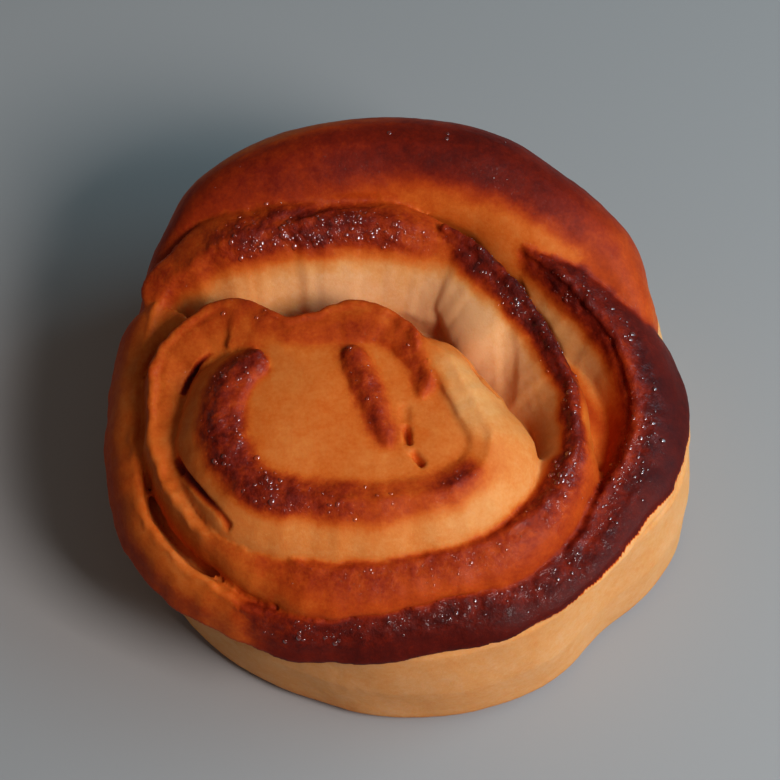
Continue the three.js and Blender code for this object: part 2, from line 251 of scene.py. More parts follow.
def smoothstep(value, low, high):
    """A smooth rise from 0 at low to 1 at high."""
    share = np.clip((value - low) / (high - low), 0, 1)
    return share * share * (3 - 2 * share)


def hump(away, width):
    """A smooth hump: 1 in its middle, and about a third at that width away from it."""
    return np.exp(-((away / width) ** 2))


def smooth_line(points, closed=False, fine=40):
    """Close points on the smooth line through these, a centripetal spline, and each one's place
    between them: 2.5 is halfway from the third to the fourth."""
    points = np.asarray(points, float)
    if closed:
        padded = np.vstack([points[-1], points, points[0], points[1]])
    else:
        padded = np.vstack([2 * points[0] - points[1], points, 2 * points[-1] - points[-2]])
    share = (np.arange(fine) / fine)[:, None]
    line = []
    for before, start, end, after in zip(padded, padded[1:], padded[2:], padded[3:]):
        d0, d1, d2 = (np.linalg.norm(b - a) ** 0.5 for a, b in ((before, start), (start, end), (end, after)))
        leave = ((start - before) / d0 - (end - before) / (d0 + d1) + (end - start) / d1) * d1
        arrive = ((end - start) / d1 - (after - start) / (d1 + d2) + (after - end) / d2) * d1
        bend = 3 * (end - start) - 2 * leave - arrive
        twist = 2 * (start - end) + leave + arrive
        line.append(start + leave * share + bend * share**2 + twist * share**3)
    line = np.vstack([*line, padded[-2]])
    return line, np.arange(len(line)) / fine


def even(line, values, count):
    """The line and its values again, at count + 1 places an equal way apart."""
    gone = np.concatenate([[0], np.cumsum(np.linalg.norm(np.diff(line, axis=0), axis=1))])
    at = np.linspace(0, gone[-1], count + 1)
    return np.stack([np.interp(at, gone, line[:, k]) for k in range(3)], 1), np.interp(at, gone, values)


def loft(rings):
    """Points and faces of a closed shell from rings of equal length, with a point at either end."""
    count = rings.shape[1]
    points = np.vstack([rings.reshape(-1, 3), rings[0].mean(0), rings[-1].mean(0)])
    first, last = len(points) - 2, len(points) - 1
    faces = []
    for i in range(len(rings) - 1):
        for k in range(count):
            a, b = i * count + k, i * count + (k + 1) % count
            faces.append((a, b, b + count, a + count))
    end = (len(rings) - 1) * count
    for k in range(count):
        after = (k + 1) % count
        faces.append((after, k, first))
        faces.append((end + k, end + after, last))
    return points, faces


def slope(width, drop, fullness):
    """One side of a cross-section, from just off the edge down to [width, -drop]."""
    angle = (math.pi / 2) * np.arange(1, SLOPE_STEPS + 1) / SLOPE_STEPS
    across = width * np.sin(angle) ** (2 / fullness)
    down = drop * (np.clip(np.cos(angle), 0, 1) ** (2 / fullness) - 1)
    return np.stack([across, down], 1)


def reach(side):
    """How far each point of a slope is from the edge, along the slope."""
    return np.cumsum(np.linalg.norm(np.diff(side, axis=0, prepend=[[0, 0]]), axis=1))


def petal(stations, inside, outside, crag):
    """A petal's rings, the place of each ring between the stations, and each ring point's distance
    from the edge: negative to the inside, and not a number at the root, which isn't skin."""
    stations = np.asarray(stations, float)
    line, place = smooth_line(stations[:, :3])
    length = np.linalg.norm(np.diff(line, axis=0), axis=1).sum()
    steps = round(length / RING_STEP)
    line, place = even(line, place, steps)
    heading = np.gradient(line, axis=0)[:, :2]
    heading /= np.linalg.norm(heading, axis=1)[:, None]
    up, aside = (
        crag * sum(share * grain(line, size, seed) for share, size in EDGE_WAVES) for seed in (3, 4)
    )
    rings, across = [], []
    for i, top in enumerate(line):
        before = min(len(stations) - 2, int(place[i]))
        mix = smoothstep(place[i], before, before + 1)
        size = stations[before, 3:] * (1 - mix) + stations[before + 1, 3:] * mix
        full = min(1, (min(i, steps - i) * length / steps + TIP_EDGE) / TIP_LENGTH)
        size = size * math.sqrt(1 - (1 - full) ** 2)
        inner, outer = slope(size[0], size[1], inside), slope(size[2], size[3], outside)
        foot = ROOT_HEIGHT - top[2]
        roots = [[-ROOT_INSET, foot], [-ROOT_INSET - ROOT_WIDTH * inner[-1, 0], foot]]
        profile = np.vstack([[0, 0], outer, roots, (inner * [-1, 1])[::-1]])
        outward = np.array([-heading[i, 1], heading[i, 0]])
        flat = top[:2] + (profile[:, :1] + EDGE_SWAY * aside[i]) * outward
        rings.append(np.column_stack([flat, top[2] + profile[:, 1] + EDGE_JITTER * up[i]]))
        across.append(np.concatenate([[0], reach(outer), [np.nan] * len(roots), -reach(inner)[::-1]]))
    return np.array(rings), place, np.array(across)


def drum():
    """Rings of the plain drum, from the middle of its underside to the top of its dome."""
    turn = np.linspace(-math.pi / 2, 0, FOOT_POINTS)
    foot_radius = MOULD_RADIUS + FOOT_ROUNDING * (np.cos(turn) - 1)
    foot = np.stack([foot_radius, FOOT_ROUNDING * (1 + np.sin(turn))], 1)
    # Radius and height: the underside, the foot, the side, which is fullest halfway up, the
    # shoulder where the dough left the mould, and the dome.
    profile = np.vstack([
        [[6, 0], [20, 0], [34, 0]],
        foot,
        [[MOULD_RADIUS + 0.3, 0.5 * SIDE_HEIGHT], [MOULD_RADIUS - 0.6, SIDE_HEIGHT - 1.5]],
        [[MOULD_RADIUS - 1.8, SIDE_HEIGHT], [MOULD_RADIUS - 5, SIDE_HEIGHT + 3.2]],
        [[MOULD_RADIUS * 0.6, CORE_HEIGHT - 0.5], [4, CORE_HEIGHT]],
    ])
    direction = np.linspace(0, 2 * math.pi, DRUM_POINTS, endpoint=False)

    def swell(at, size, half_width):
        away = (np.degrees(direction) - at + 180) % 360 - 180
        return size * hump(away, half_width)

    bump = sum(swell(*row) for row in SIDE_BUMPS)
    rise = swell(*SIDE_RISE)
    rings = []
    for radius, height in profile:
        grown = radius * (1 + bump / MOULD_RADIUS * (radius / MOULD_RADIUS) ** 2)
        up = height + rise * (height / SIDE_HEIGHT) ** 2 * (radius > RISE_FROM * MOULD_RADIUS)
        rings.append(np.stack([grown * np.cos(direction), grown * np.sin(direction), up], 1))
    return np.array(rings)


def closed_outline(points):
    """Points an equal way apart on the smooth closed line through these."""
    outline, _ = even(*smooth_line(points, closed=True), PAD_POINTS)
    return outline[:-1]


def pad():
    """Rings of the smooth end of the roll, which fills the ring of the heart's edge."""
    last_turn = PETALS["roll"]["stations"][-7:-3]
    outline = closed_outline([row[:3] for row in PETALS["heart"]["stations"] + last_turn])
    sizes = [(1, ROOT_HEIGHT), (1, PAD_HEIGHT - PAD_WALL)]
    for share in np.linspace(1, 0.1, PAD_RINGS):
        sizes.append((share, PAD_HEIGHT - PAD_FALL * share**PAD_FULLNESS))
    rings = []
    for share, height in sizes:
        flat = np.array(PAD_MIDDLE) * (1 - share) + outline[:, :2] * share
        rings.append(np.column_stack([flat, np.full(len(flat), height)]))
    return np.array(rings)


def plug():
    """Rings of the dough inside the roll, which stops a little under the roll's edge."""
    turn = [[x, y, z - PLUG_DEPTH] for x, y, z, *_ in PETALS["roll"]["stations"][5:18]]
    outline = closed_outline(turn)
    middle = outline.mean(0)
    low, high = (middle + (outline - middle) * share for share in (PLUG_SPREAD, PLUG_SPREAD - PLUG_TAPER))
    low[:, 2] = ROOT_HEIGHT
    return np.array([low, high])


# The shells, and the points of their skins, each with its part, station and distance from the edge.
shells = []
skin_points, skin_parts, skin_places, skin_across = [], [], [], []


def add_shell(part, rings, places=None, across=None):
    """Keep a shell, and those of its points that can be skin. Only petals have places and across."""
    shells.append(loft(rings))
    if places is None:
        places, across = np.zeros(len(rings)), np.zeros(rings.shape[:2])
    shown = ~np.isnan(across)
    skin_points.append(rings[shown])
    skin_parts.extend([part] * int(shown.sum()))
    skin_places.append(np.repeat(places[:, None], rings.shape[1], 1)[shown])
    skin_across.append(across[shown])


add_shell(DRUM, drum())
add_shell(PAD, pad())
add_shell(DRUM, plug())
for name, shape in PETALS.items():
    rings, places, across = petal(shape["stations"], shape["inside"], shape["outside"], shape["crag"])
    add_shell(name, rings, places, across)
skin_points = np.vstack(skin_points)
skin_parts = np.array(skin_parts)
skin_places = np.concatenate(skin_places)
skin_across = np.concatenate(skin_across)

# ---- The baked crust: its browning --------------------------------------------------------------
# The oven browned most what stood up into its heat: the petals' edges are orange to dark
# red-brown and their slopes golden, while the mould kept the drum's side pale. Brownness goes
# from 0, raw and pale, to 1, nearly burnt.
SIDE_BROWN = 0.1  # the moulded side hardly browned
FOOT_BROWN = 0.3  # the edge that stood on the hot tin
UNDERSIDE_BROWN = 0.42
UNDERSIDE_TOP = 0.15  # what lies lower than this is underside
FOOT_FADE = (0.8, 3.2)  # the foot's browning fades out between these heights
DRUM_TOP_BROWN = 0.42  # deep between the petals
DRUM_TOP_RADIUS = 39.5  # that far out the drum's top is hidden between them
PAD_BROWN = 0.36
FADE_FROM = 0.3  # share of its reach where an edge's colour begins to fade
LIMIT_WAVES = ((0.9, 3.4), (0.4, 0.9))  # how far the limits of the browning wander, and how often
FOOT_WANDER = 0.6  # as a share of that, at the foot
DRIFT, DRIFT_SIZE = 0.05, 6  # slow change of the brownness over the skin

# Where the skin is browner or paler than its place says: [x, y, height, radius, brownness added].
BROWN_SPOTS = [
    [7.5, 3.5, 39.5, 3.5, 0.3],  # the blistered end of the roll
    [4.5, 9, 34, 4.5, -0.4],  # the raw dough under it
    [9.6, -20, 39.3, 1, 0.2],  # the browned end of the heart's edge
    [8.4, -21, 39.4, 1.2, 0.34],
    [6.6, -22.2, 39.4, 1.4, 0.24],
    [4.4, -23.4, 39.2, 1.5, 0.14],
    [-4.6, 14.7, 36.3, 1.6, 0.1],  # a yolk-yellow patch
]


def browning(points, parts, places, across):
    """How brown the skin is, from 0, raw and pale, to 1, nearly burnt."""
    wander = sum(far * grain(points, size, 11 + i) for i, (far, size) in enumerate(LIMIT_WAVES))
    across = across + wander
    brown = np.zeros(len(points))
    for name, shape in PETALS.items():
        table = np.array(shape["browning"], float)
        own = parts == name
        edge, inner, inner_reach, outer, outer_reach = (
            np.interp(places[own], table[:, 0], table[:, k]) for k in range(1, 6)
        )
        to_inside = smoothstep(-across[own], FADE_FROM * inner_reach, inner_reach)
        to_outside = smoothstep(across[own], FADE_FROM * outer_reach, outer_reach)
        brown[own] = edge + (inner - edge) * to_inside + (outer - edge) * to_outside
    height = points[:, 2] + FOOT_WANDER * wander
    side = SIDE_BROWN + (FOOT_BROWN - SIDE_BROWN) * smoothstep(-height, -FOOT_FADE[1], -FOOT_FADE[0])
    side = np.where(points[:, 2] < UNDERSIDE_TOP, UNDERSIDE_BROWN, side)
    radius = np.hypot(points[:, 0], points[:, 1])
    side = np.where((points[:, 2] > SIDE_HEIGHT) & (radius < DRUM_TOP_RADIUS), DRUM_TOP_BROWN, side)
    brown = np.where(parts == DRUM, side, brown)
    brown = np.where(parts == PAD, PAD_BROWN, brown)
    for x, y, z, radius, added in BROWN_SPOTS:
        brown += added * hump(np.linalg.norm(points - [x, y, z], axis=1), radius)
    return np.clip(brown + DRIFT * grain(points, DRIFT_SIZE, 13), 0, 1)


# ---- The baked crust: its skin ------------------------------------------------------------------
# The shells become one skin, with the swelling, the creases and the cracked and torn edges that
# the oven gave it. It browned as said above, and the egg that was brushed on makes it shine.
VOXEL = 0.4  # the grid on which the shells are fused
MOST_TRIANGLES = 190000
SKIN_ABOVE, SKIN_BELOW = 0.8, 0.12  # a shell's point this near to the fused skin is part of it
NEIGHBOURS = 5
SOFTEST = 0.01  # added to the square of a distance, so that a point right on another one counts
SPREAD_ROUNDS = 9  # how far the colours of two parts run into each other
SWELLING, SWELLING_SIZE = 0.3, 9.0
DIMPLES, DIMPLE_SIZE = 0.05, 1.3
CRAGS = ((0.3, 1.9), (0.2, 0.9))  # depth and size of the cracked crust on the edges
CRACKED_FROM = (0.45, 0.8)  # the crust begins to crack at the first brownness, and did at the second
CRACKED_TO = (3, 7)  # the cracks fade out between these distances from the edge
TORN_SIZE = 2.6  # spacing of the rags along a torn edge
TORN_SHARES = (0.75, 0.9, 1.5)  # of its height: what a rag has on average, how that varies, the most
TORN_WANDER = (0.5, 1.7)  # how far the torn line strays from the edge, and over what length
TORN_LIP = (0.6, 0.75)  # how far outside the edge the rags stand, and half of their width
TORN_HOLLOW = (-0.9, 0.8, 0.6)  # the same of the hollow inside the edge, and its depth as a share
FOOT_LIP = 0.3  # how far the petals' lower edge stands out over the side
FOOT_LIP_HEIGHTS = (0.6, 3.0)  # it is furthest out at the first, and gone at the second
SETTLED = 0.03  # what lies lower than this is flat on the tin

# Slits and creases between and in the petals: [half width, depth, brownness added as painted
# shade inside the slit, places along the bottom].
GROOVES = [
    # beside the heart's edge, right of the middle, and the crease in the roll's slope next to it
    [0.8, 1.8, 0.1, [5, 5, 37], [7, 1.6, 37], [9.5, -1.2, 36], [11.5, -4.2, 35], [13.7, -6.3, 34]],
    [2.0, 0.4, 0, [14.7, 7.5, 35], [15.3, 2, 33], [14.4, -5.5, 32]],
    # from the roll's inner end to the front, over the pad
    [0.8, 1.6, 0.1, [-0.5, -13, 39.8], [0, -16.6, 39.8]],
    [0.8, 1.6, 0.1, [0.4, -17.6, 39.8], [2.2, -20, 39.6]],
    [1.2, 0.4, 0, [-0.6, -9.4, 40], [-0.6, -13, 40]],
    # inside the roll's edge, at the left front and at the left
    [
        0.75, 1.1, 0.6, [-34.8, -15, 32], [-34.2, -16.6, 32.4], [-33, -18.9, 33], [-31.6, -21, 33.6],
        [-30.1, -23, 33.8], [-28.7, -24.6, 33.9], [-27.5, -26.1, 33.9], [-26.1, -28.1, 34],
    ],
    [0.6, 0.9, 0.5, [-34.3, -4.6, 33], [-33.2, -2, 33.2], [-31.9, -0.3, 34], [-29.8, 1.2, 35]],
    # between the back petal and the one inside it
    [1.6, 0.7, 0, [-22.6, 19.6, 41.5], [-16.6, 22.4, 42], [-11.7, 24.4, 41.6], [-4, 25.2, 41.5]],
]
GROOVE_SAMPLES = 60
GROOVE_FLOOR = 0.3  # share of its half width that has the full depth
GROOVE_MEASURE = (1, 1, 0.3)  # a place may be higher or lower than the skin is

# Swollen places: [x, y, height, radius, how far they stand out].
LUMPS = [
    [9.3, 4.4, 35, 6, 1.6],  # the blister right of the middle
    [-16, -9, 39, 8, 0.7],  # the left of the pad
]


def mesh_points(mesh):
    """The places of a mesh's points, in millimetres."""
    flat = np.empty(len(mesh.vertices) * 3, np.float32)
    mesh.vertices.foreach_get("co", flat)
    return flat.reshape(-1, 3).astype(float) / MM


def mesh_normals(mesh):
    """The directions out of a mesh at its points."""
    flat = np.empty(len(mesh.vertices) * 3, np.float32)
    mesh.vertex_normals.foreach_get("vector", flat)
    return flat.reshape(-1, 3).astype(float)


def spread(mesh, values, apart, rounds):
    """The values, each moved toward its neighbours' mean so many times, but not across the line
    between points that are apart and those that aren't."""
    ends = np.empty(len(mesh.edges) * 2, np.int32)
    mesh.edges.foreach_get("vertices", ends)
    ends = ends.reshape(-1, 2)
    ends = ends[apart[ends[:, 0]] == apart[ends[:, 1]]]
    count = np.maximum(1, np.bincount(ends.ravel(), minlength=len(values)))
    for _ in range(rounds):
        total = sum(np.bincount(ends[:, k], values[ends[:, 1 - k]], len(values)) for k in (0, 1))
        values = (values + total / count) / 2
    return values


def petal_foot(points):
    """The height of the petals' lower edge in the direction of each point, a little wavy."""
    direction = np.degrees(np.arctan2(points[:, 1], points[:, 0]))
    turns = (0, PETAL_FOOT_SMOOTHING, -PETAL_FOOT_SMOOTHING)
    heights = [np.interp(direction + turn, *np.transpose(PETAL_FOOT)) for turn in turns]
    far, length = PETAL_FOOT_WAVE
    return sum(heights) / len(heights) + far * grain(points * [1, 1, 0], length, 31)


def at_rim(points):
    """Which points are on the side, or on the petals that fold over it."""
    return np.hypot(points[:, 0], points[:, 1]) > RIM * MOULD_RADIUS


def on_skin(points, fused):
    """The part, the station and the distance from the edge, for points on the fused dough."""
    surface = bvhtree.BVHTree.FromPolygons(points.tolist(), fused)
    shown = []
    for i, point in enumerate(skin_points):
        at, normal, _, _ = surface.find_nearest(point, SKIN_ABOVE)
        if at is not None and (Vector(point) - at).dot(normal) > -SKIN_BELOW:
            shown.append(i)
    trees = []
    for kept in (shown, [i for i in shown if skin_parts[i] != DRUM]):
        tree = kdtree.KDTree(len(kept))
        for i in kept:
            tree.insert(skin_points[i], i)
        tree.balance()
        trees.append(tree)
    rim = at_rim(points)
    on_petal = rim & (points[:, 2] > petal_foot(points))
    parts, places, across = [], np.zeros(len(points)), np.zeros(len(points))
    for i, point in enumerate(points):
        if rim[i] and not on_petal[i]:
            parts.append(DRUM)
            continue
        near = trees[int(on_petal[i])].find_n(point, NEIGHBOURS)
        part = skin_parts[near[0][1]]
        rows = [(index, 1 / (away**2 + SOFTEST)) for _, index, away in near if skin_parts[index] == part]
        total = sum(weight for _, weight in rows)
        places[i] = sum(skin_places[index] * weight for index, weight in rows) / total
        across[i] = sum(skin_across[index] * weight for index, weight in rows) / total
        parts.append(part)
    return np.array(parts), places, across


def craggy(parts, across, brown):
    """How cracked the skin is, from 0, smooth, to 1: the browned edges of the torn petals."""
    share = np.array([PETALS[part]["crag"] if part in PETALS else 0.0 for part in parts])
    return share * smoothstep(brown, *CRACKED_FROM) * (1 - smoothstep(np.abs(across), *CRACKED_TO))


def torn_edge(points, parts, across):
    """How far the skin of a torn petal stands out along its edge, and sinks inside it."""
    height = np.array([PETALS[part]["torn"] if part in PETALS else 0.0 for part in parts])
    average, change, most = TORN_SHARES
    ragged = np.clip(average + change * grain(points, TORN_SIZE, 41), 0, most)
    far, length = TORN_WANDER
    at = across + far * grain(points, length, 42)
    lip_place, lip_width = TORN_LIP
    hollow_place, hollow_width, depth = TORN_HOLLOW
    ridge = hump(at - lip_place, lip_width) - depth * hump(at - hollow_place, hollow_width)
    return height * ragged * ridge


def grooved(points):
    """How deep the slits and creases cut at these points, and their painted shade, as brownness added."""
    deep, painted_groove_shade = np.zeros(len(points)), np.zeros(len(points))
    for half_width, depth, added, *route in GROOVES:
        line, _ = smooth_line(route)
        line, _ = even(line, line[:, 0], GROOVE_SAMPLES)
        margin = half_width / np.array(GROOVE_MEASURE)
        near = np.all((points > line.min(0) - margin) & (points < line.max(0) + margin), axis=1)
        away = np.linalg.norm((points[near][:, None] - line) * GROOVE_MEASURE, axis=2)
        along = away.argmin(1) / GROOVE_SAMPLES
        thin = np.sqrt(4 * along * (1 - along))
        cut = thin * (1 - smoothstep(away.min(1), GROOVE_FLOOR * half_width, half_width))
        deep[near] = np.maximum(deep[near], depth * cut)
        # painted shade: the inside of the slit is darkened with added brownness
        painted_groove_shade[near] = np.maximum(painted_groove_shade[near], added * cut)
    return deep, painted_groove_shade


def with_modifiers(piece, *modifiers):
    """The piece's mesh, made anew by these modifiers, which don't stay on the piece. A setting
    named Socket_ is an input of the modifier's node tree."""
    for kind, settings in modifiers:
        modifier = piece.modifiers.new(kind.lower(), kind)
        for name, value in settings.items():
            if name.startswith("Socket_"):
                modifier[name] = value
            else:
                setattr(modifier, name, value)
    evaluated = piece.evaluated_get(bpy.context.evaluated_depsgraph_get())
    mesh = bpy.data.meshes.new_from_object(evaluated)
    piece.modifiers.clear()
    old, piece.data = piece.data, mesh
    bpy.data.meshes.remove(old)
    return mesh


raw = bpy.data.meshes.new("raw_dough")
points, faces = [], []
for shell_points, shell_faces in shells:
    start = sum(len(p) for p in points)
    points.append(shell_points)
    faces.extend(tuple(start + k for k in face) for face in shell_faces)
raw.from_pydata((np.vstack(points) * MM).tolist(), [], faces)
crust = bpy.data.objects.new("baked_crust", raw)
bpy.context.scene.collection.objects.link(crust)
mesh = with_modifiers(
    crust,
    ("REMESH", {"mode": "VOXEL", "voxel_size": VOXEL * MM}),
    ("SMOOTH", {"factor": 0.5, "iterations": 2}),
)

points, normals = mesh_points(mesh), mesh_normals(mesh)
parts, places, across = on_skin(points, [list(face.vertices) for face in mesh.polygons])
on_side = (parts == DRUM) & at_rim(points)
brown = spread(mesh, browning(points, parts, places, across), on_side, SPREAD_ROUNDS)
cracks = spread(mesh, craggy(parts, across, brown), on_side, SPREAD_ROUNDS)
out = SWELLING * grain(points, SWELLING_SIZE, 1) + DIMPLES * grain(points, DIMPLE_SIZE, 2)
for i, (depth, size) in enumerate(CRAGS):
    out += cracks * depth * grain(points, size, 20 + i)
for x, y, z, radius, height in LUMPS:
    out += height * hump(np.linalg.norm(points - [x, y, z], axis=1), radius)
deep, painted_groove_shade = grooved(points)
out -= deep
# painted shade: the slits and creases are darkened by adding brownness to the skin
brown = np.clip(brown + painted_groove_shade, 0, 1)
out += torn_edge(points, parts, across)
above = points[:, 2] - petal_foot(points)
lip = smoothstep(above, 0, FOOT_LIP_HEIGHTS[0]) * (1 - smoothstep(above, *FOOT_LIP_HEIGHTS))
out += FOOT_LIP * lip * at_rim(points)
resting = points[:, 2] < SETTLED
points += normals * np.where(resting, 0, out)[:, None]
points[:, 2] = np.where(points[:, 2] < SETTLED, 0, points[:, 2])
mesh.vertices.foreach_set("co", (points * MM).astype(np.float32).ravel())
# The brown attribute holds the baked browning, and also the painted shade of the slits and of the channel by
# the left petal.
for name, values in (("brown", brown), ("cracks", cracks)):
    attribute = mesh.attributes.new(name, "FLOAT", "POINT")
    attribute.data.foreach_set("value", values.astype(np.float32))
mesh.update()
triangles = sum(len(face.vertices) - 2 for face in mesh.polygons)
mesh = with_modifiers(crust, ("DECIMATE", {"ratio": min(1.0, MOST_TRIANGLES / triangles)}))
mesh.shade_smooth()


# Egg-washed baked crust: protein and sugar browned on dough, under a thin shiny skin of egg. Pale
# and waxy where the mould or a fold kept the heat off, dark red-brown and glassy on the edges.
def linear(hex_colour):
    """An sRGB hex colour as the linear RGBA that the shader takes."""
    channels = [int(hex_colour[i:i + 2], 16) / 255 for i in (1, 3, 5)]
    return (*(c / 12.92 if c <= 0.04045 else ((c + 0.055) / 1.055) ** 2.4 for c in channels), 1.0)


def add_node(tree, kind, settings=None, inputs=None):
    """A node with its settings, and with its inputs set to values or linked to other outputs."""
    made = tree.nodes.new(kind)
    for name, value in (settings or {}).items():
        setattr(made, name, value)
    for name, value in (inputs or {}).items():
        if isinstance(value, bpy.types.NodeSocket):
            tree.links.new(value, made.inputs[name])
        else:
            made.inputs[name].default_value = value
    return made


# The crust's colour at each brownness.
CRUST_COLOURS = [
    (0.0, "#e3a772"), (0.12, "#de9757"), (0.26, "#d67c38"), (0.4, "#cb601d"), (0.52, "#b4430f"),
    (0.64, "#942b0a"), (0.76, "#711909"), (0.88, "#531008"), (1.0, "#3a0a08"),
]


def crust_colour(tree, value):
    """A node that gives the crust's colour at this brownness."""
    colours = add_node(tree, "ShaderNodeValToRGB", None, {"Fac": value})
    stops = colours.color_ramp.elements
    while len(stops) < len(CRUST_COLOURS):
        stops.new(0.5)
    for stop, (position, colour) in zip(stops, CRUST_COLOURS):
        stop.position = position
        stop.color = linear(colour)
    return colours


# The patterns of the crust: size in millimetres, detail, roughness.
PATTERNS = {
    "mottle": (2.2, 4.0, 0.6),  # uneven browning
    "flecks": (0.55, 3.0, 0.6),
    "pores": (0.3, 2.0, 0.6),
    "wrinkles": (1.1, 4.0, 0.6),  # of the cracked crust
    "puddles": (1.3, 2.0, 0.5),  # where the egg wash pooled
    "ripples": (0.5, 1.0, 0.5),  # of the glaze
}
MOTTLE_ON_SKIN, MOTTLE_ON_CRACKS = 0.2, 0.55  # brownness that it adds at most: more where cracked
FLECK_CHANGE = 0.1
PORE_DEPTH, WRINKLE_DEPTH, RIPPLE_DEPTH = 0.1, 0.5, 0.22
POOLED = (0.5, 0.58)  # the puddles' noise where the glaze begins and where it is full
THIN_GLAZE = 0.03  # how much of it lies everywhere else

baked = bpy.data.materials.new("egg_washed_baked_crust")
baked.use_nodes = True
tree = baked.node_tree
tree.nodes.clear()
place = add_node(tree, "ShaderNodeTexCoord").outputs["Object"]
brownness = add_node(tree, "ShaderNodeAttribute", {"attribute_name": "brown"}).outputs["Fac"]
cracked = add_node(tree, "ShaderNodeAttribute", {"attribute_name": "cracks"}).outputs["Fac"]
patterns = {}
for name, (size, detail, roughness) in PATTERNS.items():
    pattern = add_node(tree, "ShaderNodeTexNoise", None, {
        "Vector": place, "Scale": 1 / (size * MM), "Detail": detail, "Roughness": roughness,
    })
    patterns[name] = pattern.outputs["Fac"]

# The colour: the brownness of the place, which also holds some painted shade, mottled and flecked.
blotch = add_node(tree, "ShaderNodeMath", {"operation": "SUBTRACT"}, {0: patterns["mottle"], 1: 0.5})
contrast = add_node(tree, "ShaderNodeMath", {"operation": "MULTIPLY_ADD"}, {
    0: cracked, 1: MOTTLE_ON_CRACKS, 2: MOTTLE_ON_SKIN,
})
shift = add_node(tree, "ShaderNodeMath", {"operation": "MULTIPLY"}, {
    0: blotch.outputs[0], 1: contrast.outputs[0],
})
finer = add_node(tree, "ShaderNodeMath", {"operation": "MULTIPLY_ADD"}, {
    0: patterns["flecks"], 1: FLECK_CHANGE, 2: -FLECK_CHANGE / 2,
})
summed = add_node(tree, "ShaderNodeMath", {"operation": "ADD"}, {0: shift.outputs[0], 1: finer.outputs[0]})
toned = add_node(tree, "ShaderNodeMath", {"operation": "ADD", "use_clamp": True}, {
    0: brownness, 1: summed.outputs[0],
})
colours = crust_colour(tree, toned.outputs[0])

# The relief: pores all over, and wrinkles where the crust cracked.
fine_bump = add_node(tree, "ShaderNodeBump", None, {
    "Strength": 0.35, "Distance": PORE_DEPTH * MM, "Height": patterns["pores"],
})
crackle = add_node(tree, "ShaderNodeMath", {"operation": "MULTIPLY"}, {0: patterns["wrinkles"], 1: cracked})
crack_bump = add_node(tree, "ShaderNodeBump", None, {
    "Strength": 1.0, "Distance": WRINKLE_DEPTH * MM,
    "Height": crackle.outputs[0], "Normal": fine_bump.outputs["Normal"],
})
gloss = add_node(tree, "ShaderNodeMapRange", None, {
    "Value": brownness, "From Min": 0.05, "From Max": 0.7, "To Min": 0.6, "To Max": 0.55,
})

# The glaze: a clear rippled coat that pooled in the cracked places.
pooled = add_node(tree, "ShaderNodeMapRange", None, {
    "Value": patterns["puddles"], "From Min": POOLED[0], "From Max": POOLED[1], "To Min": 0.0, "To Max": 1.0,
})
soaked = add_node(tree, "ShaderNodeMath", {"operation": "MULTIPLY"}, {0: cracked, 1: cracked})
wet = add_node(tree, "ShaderNodeMath", {"operation": "MULTIPLY_ADD", "use_clamp": True}, {
    0: pooled.outputs["Result"], 1: soaked.outputs[0], 2: THIN_GLAZE,
})
glaze_bump = add_node(tree, "ShaderNodeBump", None, {
    "Strength": 1.0, "Distance": RIPPLE_DEPTH * MM, "Height": patterns["ripples"],
})

shader = add_node(tree, "ShaderNodeBsdfPrincipled", None, {
    "Base Color": colours.outputs["Color"],
    "Roughness": gloss.outputs["Result"],
    "Normal": crack_bump.outputs["Normal"],
    "Specular IOR Level": 0.08,
    "Coat Weight": wet.outputs[0],
    "Coat Normal": glaze_bump.outputs["Normal"],
    "Coat Roughness": 0.06,
    "Coat IOR": 1.4,
    "Subsurface Weight": 0.2,
    "Subsurface Radius": (1.0, 0.35, 0.12),
    "Subsurface Scale": 2.0 * MM,
})
add_node(tree, "ShaderNodeOutputMaterial", None, {"Surface": shader.outputs["BSDF"]})
mesh.materials.append(baked)

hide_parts("rose_brioche")
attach(crust, "root")

# ---- The beads of glaze -------------------------------------------------------------------------
# Egg wash and syrup that boiled up through the cracked edges and set there as small flat beads.
# They are clear, so they show the crust's own colour and a sharp glint.
BEAD_RADII = (0.12, 0.5)  # mm
BEAD_FLATNESS = 0.45  # height as a share of the radius
BEADS_TOGETHER = 5.0  # mm, the size of the places where beads gather
BEADS_PER_CM2 = 230.0  # where the crust is most cracked
BEAD_STRETCH = (0.6, 1.5)  # length across as a share of the other length across
BEAD_SIDES, BEAD_RINGS = 8, 6
BEAD_SEED = 7
GATHERED = (0.46, 0.62)  # the noise where beads begin to gather and where they are closest
SCATTERED = 0.1  # share of the beads that lie where they don't gather
MOST_SMALL = 3.0  # power that turns an even draw into mostly small beads

set_glaze = bpy.data.materials.new("set_egg_glaze")
set_glaze.use_nodes = True
tree = set_glaze.node_tree
tree.nodes.clear()
under = add_node(tree, "ShaderNodeAttribute", {"attribute_name": "brown"}).outputs["Fac"]
shader = add_node(tree, "ShaderNodeBsdfPrincipled", None, {
    "Base Color": crust_colour(tree, under).outputs["Color"],
    "Roughness": 0.08,
    "IOR": 1.8,
    "Coat Weight": 1.0,
    "Coat Roughness": 0.03,
})
add_node(tree, "ShaderNodeOutputMaterial", None, {"Surface": shader.outputs["BSDF"]})

